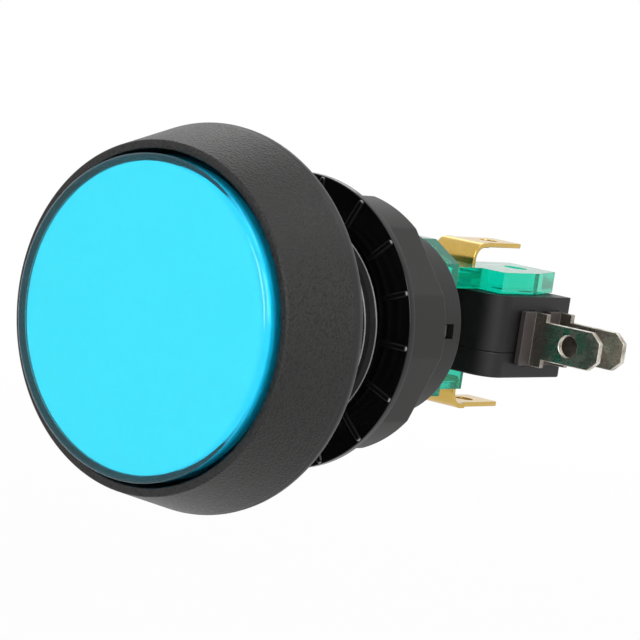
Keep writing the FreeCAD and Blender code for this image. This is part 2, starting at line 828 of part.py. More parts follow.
def lamp_terminal(label, side):
    """Brass strip from the lamp's wedge through the holder's arm, bent back into a push-on tab."""
    body = new_body(label)
    path = [
        (strip_front, strip_socket_height * side),
        (strip_turn, strip_socket_height * side),
        (strip_turn, strip_arm_height * side),
        (strip_exit, strip_arm_height * side),
        (strip_exit, lamp_tab_height * side),
        (lamp_tab_end, lamp_tab_height * side),
    ]
    strip = pad(
        body, "strip", "YZ_Plane", None, d.strip_width, both_ways=True,
        outlines=[bent_strip(path, d.strip_thickness)],
    )
    half = d.strip_thickness / 2
    inner_bends = [
        (strip_turn - half, (strip_socket_height + half) * side),
        (strip_turn + half, (strip_arm_height - half) * side),
        (strip_exit - half, (strip_arm_height + half) * side),
    ]
    outer_bends = [
        (strip_turn + half, (strip_socket_height - half) * side),
        (strip_turn - half, (strip_arm_height + half) * side),
        (strip_exit + half, (strip_arm_height - half) * side),
    ]
    inner_round = fillet(body, "inner_bends", strip, corner_edge("yz", inner_bends), d.strip_bend)
    outer_round = fillet(
        body, "outer_bends", inner_round, corner_edge("yz", outer_bends), d.strip_bend + d.strip_thickness)
    tab_inner = [(strip_exit + half, (lamp_tab_height - half) * side)]
    tab_outer = [(strip_exit - half, (lamp_tab_height + half) * side)]
    tab_round = fillet(body, "tab_inner_bend", outer_round, corner_edge("yz", tab_inner), d.lamp_tab_bend)
    fillet(
        body, "tab_outer_bend", tab_round, corner_edge("yz", tab_outer), d.lamp_tab_bend + d.strip_thickness)
    half_tab = d.lamp_tab_width / 2
    half_strip = d.strip_width / 2
    shoulder = strip_exit + d.lamp_tab_shoulder
    trims = []
    for hand in (1, -1):
        trims.append([
            (half_tab * hand, shoulder),
            ((half_strip + d.lamp_tab_corner) * hand, shoulder),
            ((half_strip + d.lamp_tab_corner) * hand, lamp_tab_end + d.lamp_tab_corner),
            ((half_tab - d.lamp_tab_corner * 2) * hand, lamp_tab_end + d.lamp_tab_corner),
            (half_tab * hand, lamp_tab_end - d.lamp_tab_corner),
        ])
    hole = ((ZERO, lamp_tab_end - d.lamp_tab_hole_setback), d.lamp_tab_hole_radius)
    pocket(
        body, "tab_trim", "XY_Plane", lamp_tab_height * side, d.strip_thickness * 2, both_ways=True,
        outlines=trims, circles=[hole],
    )
    return body


def lamp_base():
    """Wedge and round collar of the lamp."""
    body = new_body("lamp_base")
    collar_back = socket_front - d.lamp_collar_gap
    revolve(body, "collar", [
        (ZERO, collar_back - d.lamp_collar_length),
        (d.lamp_collar_radius, collar_back - d.lamp_collar_length),
        (d.lamp_collar_radius, collar_back),
        (ZERO, collar_back),
    ])
    wedge_start = collar_back - d.lamp_collar_length / 2
    pad_back(
        body, "wedge", wedge_start, wedge_back - wedge_start,
        outlines=[rectangle((-d.wedge_width / 2, -wedge_half), (d.wedge_width / 2, wedge_half))],
    )
    return body


def lamp_dome():
    """Clear head of the lamp: a short cylinder with a round end."""
    body = new_body("lamp_dome")
    dome_back = socket_front - d.lamp_collar_gap - d.lamp_collar_length
    tip = dome_back - d.dome_length
    crown = tip + d.dome_radius
    turns = [math.pi / 2 * step / DOME_STEPS for step in range(1, DOME_STEPS + 1)]
    round_end = [(d.dome_radius * math.sin(turn), crown - d.dome_radius * math.cos(turn)) for turn in turns]
    revolve(body, "glass", [
        (ZERO, round_end[0][1]),
        *round_end,
        (d.dome_radius, dome_back),
        (ZERO, dome_back),
    ])
    return body


DOME_STEPS = 3
LEAD_SIDES = 6


def lamp_leads():
    """The two wire leads that lie on opposite faces of the wedge."""
    leads = []
    for side, name in ((1, "lamp_lead_upper"), (-1, "lamp_lead_lower")):
        lead = doc.addObject("Part::Prism", name)
        lead.Polygon = LEAD_SIDES
        bind(lead, "Circumradius", d.lead_radius)
        bind(lead, "Height", d.lead_length)
        turn = FreeCAD.Rotation(FreeCAD.Vector(1, 0, 0), -HALF_TURN / 2)
        lead.Placement = FreeCAD.Placement(FreeCAD.Vector(), turn)
        bind(lead, "Placement.Base.x", d.lead_offset * side)
        bind(lead, "Placement.Base.y", wedge_back - d.lead_length)
        bind(lead, "Placement.Base.z", lead_height * side)
        leads.append(lead)
    pair = doc.addObject("Part::Compound", "lamp_leads")
    pair.Label = "lamp_leads"
    pair.Links = leads
    doc.recompute()
    return pair


def switch_outline(inset=ZERO, back_inset=ZERO):
    """The switch's outline in plan, set in from its walls."""
    return rectangle(
        (switch_far_end + inset, switch_front + inset),
        (d.switch_tab_end - inset, switch_back - back_inset),
    )


def terminal_slots(body, half_width):
    """Slots through the end and back walls for the three terminals."""
    half_slot = d.terminal_thickness / 2 + d.terminal_clearance
    wall = d.switch_wall + d.terminal_clearance
    for name, place in (("front", front_terminal_position), ("rear", rear_terminal_position)):
        pocket(
            body, f"{name}_slot", "YZ_Plane", d.switch_tab_end - wall, d.switch_wall * 2, reverse=True,
            outlines=[rectangle((place - half_slot, -half_width), (place + half_slot, half_width))],
        )
    pocket_back(
        body, "common_slot", switch_back - wall, d.switch_wall * 2,
        outlines=[rectangle(
            (-(common_terminal_position + half_slot), -half_width),
            (-(common_terminal_position - half_slot), half_width),
        )],
    )


def switch_half(label, low, high, cavity_low, cavity_high):
    """One half of the switch's body: a block with round upright corners and a cavity open at the parting."""
    body = new_body(label)
    block = pad(body, "block", "XY_Plane", low, high - low, outlines=[switch_outline()])
    front_corners = [(switch_far_end, switch_front), (d.switch_tab_end, switch_front)]
    fillet(body, "corners", block, corner_edge("xy", front_corners), d.switch_corner)
    pocket(
        body, "cavity", "XY_Plane", cavity_low, cavity_high - cavity_low, reverse=True,
        outlines=[switch_outline(d.switch_wall, d.switch_back_wall)],
    )
    terminal_slots(body, d.terminal_base_width / 2 + d.terminal_clearance)
    return body


def switch_case():
    """Upper half of the switch with the pin's hole and the hole for the holder's peg."""
    body = switch_half("switch_case", parting_height, switch_top, parting_height, cavity_half_height)
    pocket_back(
        body, "pin_hole", switch_front, d.switch_wall * 2,
        circles=[((-leg_offset, ZERO), d.pin_radius + d.pin_clearance)],
    )
    pocket(
        body, "peg_hole", "XY_Plane", switch_top, d.switch_wall * 2,
        circles=[((d.peg_offset, peg_position), d.peg_radius + d.peg_clearance)],
    )
    return body


def switch_cover():
    """Lower half of the switch, below the parting line."""
    return switch_half("switch_cover", switch_bottom, parting_height, -cavity_half_height, parting_height)


def switch_pin():
    """Push pin with a collar that holds it inside the case."""
    pin = doc.addObject("Part::Feature", "switch_pin")
    pin.Label = "switch_pin"
    inner_end = blade_crest.value - d.blade_thickness.value / 2 - d.blade_clearance.value
    length = inner_end - pin_tip.value
    along = FreeCAD.Vector(0, 1, 0)
    shaft = Part.makeCylinder(d.pin_radius.value, length, FreeCAD.Vector(), along)
    collar_start = d.pin_proud.value + d.switch_wall.value + d.pin_collar_gap.value
    collar = Part.makeCylinder(
        d.pin_collar_radius.value, d.pin_collar_thickness.value, FreeCAD.Vector(0, collar_start, 0), along)
    pin.Shape = shaft.fuse(collar).removeSplitter()
    pin.Placement = FreeCAD.Placement(
        FreeCAD.Vector(-leg_offset.value, pin_tip.value, 0), FreeCAD.Rotation())
    return pin


def tab_outline(root, wall):
    """Base, shoulders and chamfered push-on tab as distances along and across the tab."""
    shoulder = wall + d.terminal_shoulder
    end = shoulder + d.tab_length
    base = d.terminal_base_width / 2
    tab = d.tab_width / 2
    upper = [
        (root, base),
        (shoulder, base),
        (shoulder, tab),
        (end - d.tab_corner_length, tab),
        (end, tab - d.tab_corner_width),
    ]
    return upper + [(along, -across) for along, across in reversed(upper)]


def end_terminal(label, place):
    """Flat terminal through the switch's end wall, with its push-on tab and hole, and a foot on the wall."""
    body = new_body(label)
    hole_place = d.switch_tab_end + d.terminal_shoulder + d.tab_hole_position
    pad_back(
        body, "tab", place - d.terminal_thickness / 2, d.terminal_thickness,
        outlines=[tab_outline(terminal_root, d.switch_tab_end)],
        circles=[((hole_place, ZERO), d.tab_hole_radius)],
    )
    half = d.terminal_base_width / 2
    pad(
        body, "foot", "YZ_Plane", d.switch_tab_end + d.terminal_clearance, d.terminal_thickness,
        outlines=[rectangle((place - d.terminal_foot_length, -half), (place, half))],
    )
    return body


def front_terminal():
    """Tab nearer the bezel, with a straight arm inside that carries its contact."""
    body = end_terminal("front_terminal", front_terminal_position)
    arm_half = d.contact_arm_width / 2
    arm_start = contact_position - d.contact_arm_margin
    pad_back(
        body, "arm", front_terminal_position - d.terminal_thickness / 2, d.terminal_thickness,
        outlines=[rectangle((arm_start, -arm_half), (terminal_root + d.contact_arm_overlap, arm_half))],
    )
    return body


def rear_terminal():
    """Tab further back, with an arm that steps forward to its contact."""
    body = end_terminal("rear_terminal", rear_terminal_position)
    step = terminal_root - d.rear_contact_jog
    path = [
        (terminal_root + d.contact_arm_overlap, rear_terminal_position),
        (step, rear_terminal_position),
        (step, rear_arm_middle),
        (contact_position - d.contact_arm_margin, rear_arm_middle),
    ]
    pad(
        body, "arm", "XY_Plane", None, d.contact_arm_width, both_ways=True,
        outlines=[bent_strip(path, d.terminal_thickness)],
    )
    return body


def common_terminal():
    """Third tab, through the back wall at the far end, whose inner end holds the blade."""
    body = new_body("common_terminal")
    hole_place = switch_back + d.terminal_shoulder + d.tab_hole_position
    pad(
        body, "tab", "YZ_Plane", -(common_terminal_position + d.terminal_thickness / 2),
        d.terminal_thickness,
        outlines=[tab_outline(common_anchor, switch_back)],
        circles=[((hole_place, ZERO), d.tab_hole_radius)],
    )
    return body


# The blade's crest lies under the pin, and its anchor on the common terminal
blade_root = -(common_terminal_position - d.terminal_thickness / 2 - d.blade_clearance)
blade_crest = blade_middle - d.blade_rise


def snap_blade():
    """Thin spring blade from the common terminal, over its crest at the pin, to the moving contact."""
    body = new_body("snap_blade")
    line = [
        (blade_root, blade_anchor),
        (-leg_offset, blade_crest),
        (contact_position - d.blade_flat, blade_middle),
        (contact_position + d.blade_flat, blade_middle),
    ]
    half = d.blade_thickness / 2
    front_side = [(along, place - half) for along, place in line]
    back_side = [(along, place + half) for along, place in reversed(line)]
    pad(
        body, "blade", "XY_Plane", None, d.blade_width, both_ways=True,
        outlines=[front_side + back_side],
    )
    pocket_back(
        body, "contact_hole", blade_middle - d.blade_thickness, d.blade_thickness * 2,
        outlines=[contact_square(d.contact_neck_width / 2 + d.contact_clearance)],
    )
    return body


def contact_square(half):
    """A square round the contacts' common axis."""
    return rectangle((contact_position - half, -half), (contact_position + half, half))


def contact_head(body, name, start, end):
    """A round contact head from one place along the axis to another."""
    pad_back(body, name, start, end - start, circles=[((contact_position, ZERO), d.contact_radius)])


def moving_contact():
    """Two-headed rivet with a square neck through the blade's end."""
    body = new_body("moving_contact")
    blade_front = blade_middle - d.blade_thickness / 2 - d.contact_clearance
    blade_back = blade_middle + d.blade_thickness / 2 + d.contact_clearance
    contact_head(body, "front_head", moving_contact_front, blade_front)
    pad_back(
        body, "neck", blade_front, blade_back - blade_front,
        outlines=[contact_square(d.contact_neck_width / 2)],
    )
    contact_head(body, "back_head", blade_back, moving_contact_back)
    return body


def front_contact():
    """Fixed contact on the back of the front terminal's arm."""
    body = new_body("front_contact")
    contact_head(body, "head", front_terminal_position + d.terminal_thickness / 2, front_contact_face)
    return body


def rear_contact():
    """Fixed contact on the front of the rear terminal's arm."""
    body = new_body("rear_contact")
    contact_head(body, "head", rear_contact_face, rear_contact_face + d.contact_height)
    return body


SUB_PARTS = [
    bezel_housing(),
    lens_cap(),
    diffuser_disc(),
    plunger(),
    return_spring(),
    mounting_nut(),
    lamp_holder(),
    lamp_terminal("lamp_terminal_upper", 1),
    lamp_terminal("lamp_terminal_lower", -1),
    lamp_base(),
    lamp_dome(),
    lamp_leads(),
    switch_case(),
    switch_cover(),
    switch_pin(),
    front_terminal(),
    rear_terminal(),
    common_terminal(),
    snap_blade(),
    moving_contact(),
    front_contact(),
    rear_contact(),
]

doc.recompute()
for item in doc.Objects:
    if any(flag in ("Invalid", "Error") for flag in item.State):
        raise RuntimeError(f"{item.Name} failed: {item.State}")
for part in SUB_PARTS:
    if part.Shape.isNull() or not part.Shape.isValid():
        raise RuntimeError(f"{part.Label} has no valid shape")

os.makedirs("parts", exist_ok=True)
for part in SUB_PARTS:
    part.Shape.exportStep(os.path.join("parts", f"{part.Label}.step"))
    print(part.Label, len(part.Shape.Solids), round(part.Shape.Volume, 2))
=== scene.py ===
import math

import bmesh
import bpy
import numpy as np
from mathutils import Matrix, Vector


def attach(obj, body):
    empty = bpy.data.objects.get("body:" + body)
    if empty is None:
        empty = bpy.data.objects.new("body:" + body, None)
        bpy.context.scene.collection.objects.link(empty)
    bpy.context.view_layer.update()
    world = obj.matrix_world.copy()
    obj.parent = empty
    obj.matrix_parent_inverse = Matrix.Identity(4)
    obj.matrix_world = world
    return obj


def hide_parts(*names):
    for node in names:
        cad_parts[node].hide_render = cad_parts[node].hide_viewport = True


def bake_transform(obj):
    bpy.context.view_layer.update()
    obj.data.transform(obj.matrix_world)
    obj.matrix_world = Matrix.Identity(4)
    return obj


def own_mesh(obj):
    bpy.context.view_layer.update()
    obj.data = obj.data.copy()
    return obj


# Illuminated arcade push button: lens at -Y, switch at +Y, its tabs towards +X
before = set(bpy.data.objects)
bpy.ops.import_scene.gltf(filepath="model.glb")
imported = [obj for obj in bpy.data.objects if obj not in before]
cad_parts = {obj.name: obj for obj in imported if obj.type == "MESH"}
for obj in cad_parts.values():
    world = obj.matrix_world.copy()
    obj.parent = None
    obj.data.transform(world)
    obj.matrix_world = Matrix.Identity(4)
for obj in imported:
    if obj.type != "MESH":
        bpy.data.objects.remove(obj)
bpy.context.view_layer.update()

MM = 0.001
FULL_TURN = 2 * math.pi

# Sizes in millimetres, as in the solids, except that the lens's inner wall and the diffuser's rim lie 0.25
# further out
LENS_RADIUS = 18.55
LENS_FACE = -12.95
LENS_BACK = -11.85
LENS_SKIRT_END = -5.95
LENS_INNER_RADIUS = 17.8
LENS_EDGE_WIDTH = 0.7
LENS_EDGE_DROP = 0.6
LENS_EDGE_STEPS = 22
LENS_CORNER = 0.2
LENS_CORNER_EASE = 0.06
DIFFUSER_GAP = 0.15
DIFFUSER_RADIUS = 17.7
DIFFUSER_BACK = -10.85
TRAY_BACK = -9.25
CUP_RADIUS = 19.05
CUP_FLOOR = -2.0
BEZEL_FRONT = -11.3
BEZEL_FRONT_RADIUS = 20.05
BEZEL_RADIUS = 22.5
BEZEL_RIM = -1.6
BARREL_RADIUS = 11.75
BARREL_BORE = 10.5
BARREL_END = 33.4
BARREL_END_CHAMFER = 0.4
BARREL_END_RINGS = 5
GUIDE_RADIUS = 9.9
GUIDE_END = 8.0
WINDOW_FROM = 28.5
WINDOW_TO = 31.7
WINDOW_WIDTH = 1.8
WINDOW_ANGLE = math.radians(4.0)
WINDOW_COUNT = 3
WINDOW_STEPS = 60
THREAD_ROOT = 12.45
THREAD_CREST = 13.0
THREAD_PITCH = 2.2
THREAD_FROM = 1.4
THREAD_TO = 24.9
THREAD_END = 26.0
THREAD_END_STEP = 0.6
THREAD_HALF_WIDTH = 0.6
THREAD_START_TURN = 0.28
THREAD_FADE_TURNS = 0.5
THREAD_SINK = 0.03
THREAD_STEPS = 96
THREAD_POINTS = 17

# Shape of the thread's ridge, in shares of its half width and height: round of the crest, crowding of the
# points towards it, and width and depth of the hidden foot
THREAD_TIP = 0.1
THREAD_CROWDING = 0.6
THREAD_FOOT = 0.6

# Nut, its ribs, spring and snap blade, in millimetres
NUT_FACE = 14.6
NUT_BACK = 24.6
NUT_FLANGE_BACK = 15.8
NUT_BORE = 13.15
NUT_FLANGE_RADIUS = 17.65
NUT_BODY_RADIUS = 15.8
NUT_FLAT = 15.15
NUT_FLATS = 6
NUT_FLAT_ANGLE = math.radians(37.5)
NUT_FLATS_FRONT = 15.5
NUT_FLATS_INNER = 14.5
NUT_FLATS_OUTER = 16.6
NUT_STEPS = 360
RIB_COUNT = 17
RIB_ANGLE = math.radians(20.5)
RIB_WIDTH = 0.8
RIB_HEIGHT = 0.3
RIB_START = 13.4
RIB_END = 17.55
RIB_END_ROUND = 0.4
RIB_END_STEPS = 6
SPRING_RADIUS = 12.6
SPRING_WIRE = 0.4
SPRING_GAP = 0.05
SPRING_TURNS = 2.5
SPRING_STEPS = 240
SPRING_SIDES = 12
BLADE_ROOT = -13.54
BLADE_CREST = -8.55
BLADE_WAIST = -1.0
BLADE_TIP = 6.0
BLADE_ROW = 0.5

# A rib's section, in shares of its width and height: over the top from side to side, then its hidden foot
RIB_ACROSS = np.array([-0.5, -0.42, -0.32, -0.16, 0.16, 0.32, 0.42, 0.5, 0.4, -0.4])
RIB_RISE = np.array([0.0, 0.4, 0.8, 1.0, 1.0, 0.8, 0.4, 0.0, -0.3, -0.3])

# Where finishes, painted highlights and painted shade start and reach full strength, in millimetres along Y,
# from the axis or along X
BEZEL_SMOOTH = (BEZEL_RIM - 0.8, BEZEL_RIM - 0.3)
NUT_SATIN = (15.0, 15.7)
# Painted shade: the holder is grey inside the barrel, before this stretch along Y
HOLDER_PAINTED_SHADE_END = (32.2, 33.2)
LENS_DEEP_TINT = (LENS_RADIUS - 1.2, LENS_RADIUS - 0.2)
# The thread's pale crest line and the ribs' pale outer ends are painted highlights
THREAD_PAINTED_HIGHLIGHT = (THREAD_CREST - 0.12, THREAD_CREST - 0.03)
RIB_PAINTED_GLINT = (RIB_END - 0.2, RIB_END - 0.05)
TAB_BLADE = (11.9, 12.0)
TAB_BRIGHT = (12.4, 15.5)

# Steps round turned pieces and over rounded corners, smallest corner round in millimetres, angles in degrees
# for joined facets, softened edges and sharp shading, and welding distances in metres
ROUND_STEPS = 256
DISC_STEPS = 192
CORNER_STEPS = 7
LEAST_ROUND = 1e-6
FLAT_ANGLE = 0.5
EDGE_ANGLE = 32
SHARP_ANGLE = 30
WELD = 1e-7
SOLID_WELD = 2e-6

# Camera, in metres and millimetres, and its directions in the button's frame
CAMERA_LENS = 180.0
CAMERA_SENSOR = 36.0
CAMERA_RANGE = (0.01, 50.0)
CAMERA_PLACE = (0.2309, -0.2839, 0.0407)
CAMERA_RIGHT = (0.7782, 0.6102, 0.1485)
CAMERA_UP = (-0.1822, -0.0068, 0.9832)
CAMERA_BACK = (0.6010, -0.7922, 0.1059)

# Studio, in metres; each lamp has its place, size and power in watts
LAMPS = {
    "top_lamp": ((0.28, 0.22, 0.55), 0.3, 0.7),
    "front_lamp": ((0.0, -0.8, 0.12), 0.3, 3.15),
    "side_lamp": ((0.62, -0.22, 0.26), 0.35, 3.0),
    "back_lamp": ((-0.43, 0.60, 0.45), 0.3, 0.4),
}
FLOOR_HEIGHT = -0.09
FLOOR_REACH = 12.0
FLOOR_LIFT = 0.85
FLOOR_FADE = (0.2, 0.7)
WORLD_LIGHT = 0.65


class Wire:
    """An output socket in a sum: each operator adds the Math node that does it."""

    def __init__(self, nodes, socket):
        self.nodes = nodes
        self.socket = socket

    def _math(self, operation, first, second):
        return self.nodes.node("ShaderNodeMath", {"operation": operation}, {0: first, 1: second})

    def __add__(self, other):
        return self._math("ADD", self, other)

    __radd__ = __add__

    def __sub__(self, other):
        return self._math("SUBTRACT", self, other)

    def __rsub__(self, other):
        return self._math("SUBTRACT", other, self)

    def __mul__(self, other):
        return self._math("MULTIPLY", self, other)

    __rmul__ = __mul__

    def larger(self, other):
        return self._math("MAXIMUM", self, other)


class Nodes:
    """A node tree; every node in it comes from one method."""

    def __init__(self, tree):
        self.tree = tree

    def own(self, kind):
        """The node of a kind that the tree already has."""
        return next(n for n in self.tree.nodes if n.bl_idname == kind)

    def node(self, kind, settings=None, inputs=None, output=0):
        """Adds any node: its settings, then its socket values or links; gives one of its outputs."""
        made = self.tree.nodes.new(kind)
        for key, value in (settings or {}).items():
            setattr(made, key, value)
        for key, value in (inputs or {}).items():
            self.feed(made.inputs[key], value)
        return Wire(self, made.outputs[output])

    def feed(self, socket, value):
        """Links a wire to a socket, or sets the socket's own value."""
        if isinstance(value, Wire):
            self.tree.links.new(value.socket, socket)
        else:
            socket.default_value = value

    def shown(self):
        """One on rays that see the surroundings: the camera's, mirrored ones and those let through."""
        camera, mirrored, through = (
            self.node("ShaderNodeLightPath", output=f"Is {kind} Ray")
            for kind in ("Camera", "Glossy", "Transmission"))
        return camera.larger(mirrored).larger(through)

    def blend(self, factor, first, second):
        """Mixes two shaders by a factor."""
        return self.node("ShaderNodeMixShader", inputs={0: factor, 1: first, 2: second})


class Finish(Nodes):
    """One material and the nodes that feed its shader."""

    def __init__(self, name, **constants):
        self.material = bpy.data.materials.new(name)
        self.material.use_nodes = True
        super().__init__(self.material.node_tree)
        self.shader = self.own("ShaderNodeBsdfPrincipled")
        self.coordinates = self.node("ShaderNodeTexCoord", output="Object")
        self.set(**constants)

    def set(self, **sockets):
        """Values or links of the shader's sockets, named with underscores for spaces."""
        for name, value in sockets.items():
            self.feed(self.shader.inputs[name.replace("_", " ")], value)

    def noise(self, scale, detail=3.0, stretch=(1.0, 1.0, 1.0)):
        """Soft noise on the piece's own place in space; scale counts features per metre."""
        place = self.node("ShaderNodeMapping", inputs={"Vector": self.coordinates, "Scale": stretch})
        return self.node("ShaderNodeTexNoise", inputs={"Vector": place, "Scale": scale, "Detail": detail})

    def mix(self, factor, first, second):
        """Colour between two colours by a factor."""
        return self.node(
            "ShaderNodeMix", {"data_type": "RGBA"},
            {0: factor, 6: rgba(first), 7: rgba(second)}, output=2)

    def ramp(self, value, low, high):
        """Zero below one value, one above another, with an S-shaped step between."""
        return self.node(
            "ShaderNodeMapRange", {"interpolation_type": "SMOOTHSTEP"},
            {"Value": value, "From Min": low, "From Max": high})

    def along(self, value, stretch):
        """A ramp over a stretch given in millimetres."""
        return self.ramp(value, stretch[0] * MM, stretch[1] * MM)

    def place(self, axis):
        """One coordinate of the piece's own place, in metres."""
        return self.node("ShaderNodeSeparateXYZ", inputs={0: self.coordinates}, output=axis)

    def radius(self):
        """Distance from the button's axis, in metres."""
        across = self.node(
            "ShaderNodeVectorMath", {"operation": "MULTIPLY"}, {0: self.coordinates, 1: (1, 0, 1)})
        return self.node("ShaderNodeVectorMath", {"operation": "LENGTH"}, {0: across}, output="Value")

    def bump(self, height, strength, distance):
        """Surface relief from a height; the distance is its depth in millimetres at full strength."""
        self.set(Normal=self.node(
            "ShaderNodeBump",
            inputs={"Height": height, "Strength": strength, "Distance": distance * MM}))


def rgba(colour):
    """A colour as its socket takes it: a wire as it is, three numbers with a full fourth."""
    return colour if isinstance(colour, Wire) else (*colour, 1.0)


def bezel_plastic():
    """Bezel: an eroded grain on its cone, in colour, gloss and relief, that fades to a smoother back rim; the
    rim's slightly paler colour is a painted sheen.
    """
    finish = Finish("bezel_plastic", Specular_IOR_Level=0.3)
    rim = finish.along(finish.place("Y"), BEZEL_SMOOTH)
    grain = finish.ramp(finish.noise(3400), 0.40, 0.62) * 0.6 + finish.noise(6000, 2.0) * 0.4
    cone = finish.mix(grain, (0.002, 0.002, 0.002), (0.0128, 0.0116, 0.0106))
    finish.set(
        # Smooth back rim is real; its slightly paler colour is a painted sheen
        Base_Color=finish.mix(rim, cone, (0.009, 0.0088, 0.009)),
        Roughness=0.34 + grain * 0.10 + rim * 0.04)
    finish.bump(grain * (1 - rim), 1.0, 0.065)
    return finish.material


def collar_plastic():
    """Rear end of the barrel: fine grain in colour, gloss and relief."""
    finish = Finish("collar_plastic", Specular_IOR_Level=0.3)
    grain = finish.noise(2400)
    finish.set(
        Base_Color=finish.mix(grain, (0.004, 0.004, 0.004), (0.012, 0.012, 0.011)),
        Roughness=0.42 + grain * 0.12)
    finish.bump(grain, 1.0, 0.02)
    return finish.material


def black_with_painted_highlight(name, stretch, shine):
    """Black plastic polished in the mould, with faint flow marks, and a painted highlight: pale colour over a
    stretch of radius.
    """
    finish = Finish(name, Specular_IOR_Level=shine)
    flow = finish.noise(350, 4.0, (1.0, 0.35, 1.0))
    # Pale colour over the stretch of radius is a painted highlight
    worn = finish.along(finish.radius(), stretch)
    black = finish.mix(flow, (0.002, 0.002, 0.002), (0.005, 0.005, 0.005))
    finish.set(
        Base_Color=finish.mix(worn, black, (0.22, 0.22, 0.215)),
        Roughness=0.08 + flow * 0.12 + worn * 0.2)
    finish.bump(flow, 0.15, 0.02)
    return finish.material


def nut_plastic():
    """Black nut: polished on its clamping flange and satin on its body, by the place along the axis."""
    finish = Finish("nut_plastic", Specular_IOR_Level=0.32)
    body = finish.along(finish.place("Y"), NUT_SATIN)
    grain = finish.noise(2600)
    satin = finish.mix(grain, (0.004, 0.004, 0.0035), (0.011, 0.011, 0.010))
    finish.set(
        Base_Color=finish.mix(body, (0.0015, 0.0015, 0.0015), satin),
        Roughness=0.13 + body * 0.34 + grain * 0.08)
    finish.bump(grain * body, 0.5, 0.018)
    return finish.material


def lens_plastic():
    """Clear blue lens: tint and gloss drift with soft noise, and the tint deepens over its edge."""
    finish = Finish("lens_blue", Transmission_Weight=0.965, IOR=1.36)
    cloud = finish.noise(90)
    skirt = finish.along(finish.radius(), LENS_DEEP_TINT)
    face = finish.mix(cloud, (0.175, 0.885, 1.0), (0.16, 0.875, 1.0))
    finish.set(
        Base_Color=finish.mix(skirt, face, (0.04, 0.74, 1.0)),
        Roughness=0.015 + cloud * 0.015)
    return finish.material


def lamp_glass():
    """Clear glass of the lamp's head, with a faint cloud in tint and gloss."""
    finish = Finish("lamp_glass", Transmission_Weight=1.0, IOR=1.49)
    cloud = finish.noise(300)
    finish.set(
        Base_Color=finish.mix(cloud, (0.97, 0.97, 0.96), (0.93, 0.94, 0.93)),
        Roughness=0.02 + cloud * 0.02)
    return finish.material


def holder_plastic():
    """Clear green holder: tint and gloss drift with soft noise, and its plug inside the barrel is greyed as
    painted shade.
    """
    finish = Finish("holder_green", Transmission_Weight=0.82, IOR=1.36)
    cloud = finish.noise(260)
    # Grey plug inside the barrel is painted shade
    past_painted_shade = finish.along(finish.place("Y"), HOLDER_PAINTED_SHADE_END)
    green = finish.mix(cloud, (0.005, 0.72, 0.49), (0.001, 0.60, 0.39))
    finish.set(
        Base_Color=finish.mix(past_painted_shade, (0.40, 0.42, 0.41), green),
        Roughness=0.05 + cloud * 0.05)
    return finish.material


def tab_plating():
    """Plated switch tabs: dull patches, pits and rolling streaks in a bright coat, and dark feet."""
    finish = Finish("tab_metal")
    blade = finish.along(finish.place("X"), TAB_BLADE)
    patches = finish.ramp(finish.noise(620, 5.0), 0.42, 0.66)
    pits = finish.ramp(finish.noise(2600, 4.0), 0.60, 0.68)
    streaks = finish.noise(4200, 3.0, (0.06, 1.0, 1.0))
    worn = finish.mix(patches, (0.66, 0.62, 0.55), (0.36, 0.32, 0.27))
    # The coat is darker towards the switch and keeps its patches and pits towards the tip, over this stretch
    # along X
    tip = finish.along(finish.place("X"), TAB_BRIGHT)
    coat = finish.mix((pits * 0.7).larger(0.75 - tip * 0.75), worn, (0.13, 0.12, 0.10))
    finish.set(
        Base_Color=finish.mix(blade, (0.045, 0.038, 0.036), coat),
        Metallic=0.25 + blade * 0.75,
        Roughness=0.42 - blade * 0.22 + patches * 0.16 + streaks * 0.10)
    finish.bump(patches * 0.6 + pits * 0.4, 0.6, 0.02)
    return finish.material


def moulded_plastic(name, dark, light, rough, shine=0.5):
    """Plain moulded plastic with soft colour drift and a slight orange-peel relief."""
    finish = Finish(name, Specular_IOR_Level=shine)
    drift = finish.noise(700)
    finish.set(Base_Color=finish.mix(drift, dark, light), Roughness=rough + drift * 0.1)
    finish.bump(finish.noise(2800, 2.0), 0.25, 0.012)
    return finish.material


def rolled_metal(name, dark, light, rough, stretch):
    """Rolled strip: fine streaks along the rolling direction in colour, gloss and relief, with tarnish."""
    finish = Finish(name, Metallic=1.0)
    streaks = finish.noise(4200, 3.0, stretch)
    tarnish = finish.noise(260, 4.0)
    tone = streaks * 0.45 + tarnish * 0.55
    finish.set(
        Base_Color=finish.mix(tone, dark, light),
        Roughness=rough + streaks * 0.12 + tarnish * 0.06)
    finish.bump(streaks, 0.25, 0.003)
    return finish.material


BEZEL = bezel_plastic()
COLLAR = collar_plastic()
# Thread crest and rib ends get pale colour: painted highlights
THREAD = black_with_painted_highlight("thread_plastic", THREAD_PAINTED_HIGHLIGHT, 0.2)
RIB = black_with_painted_highlight("rib_plastic", RIB_PAINTED_GLINT, 0.1)
NUT = nut_plastic()
LENS = lens_plastic()
HOLDER = holder_plastic()
GLASS = lamp_glass()
WHITE = moulded_plastic("white_plastic", (0.90, 0.90, 0.89), (0.95, 0.95, 0.94), 0.45)
SWITCH = moulded_plastic("switch_plastic", (0.003, 0.0026, 0.0030), (0.008, 0.007, 0.0085), 0.42, shine=0.3)
BRASS = rolled_metal("terminal_brass", (0.44, 0.275, 0.05), (0.72, 0.51, 0.15), 0.13, (1.0, 0.06, 1.0))
TAB = tab_plating()
CONTACT = rolled_metal("contact_metal", (0.40, 0.39, 0.35), (0.80, 0.79, 0.74), 0.12, (0.06, 1.0, 1.0))
SPRING = rolled_metal("spring_steel", (0.42, 0.42, 0.43), (0.66, 0.66, 0.67), 0.25, (1.0, 1.0, 1.0))
BLADE = rolled_metal("blade_metal", (0.55, 0.32, 0.16), (0.75, 0.48, 0.28), 0.25, (0.06, 1.0, 1.0))


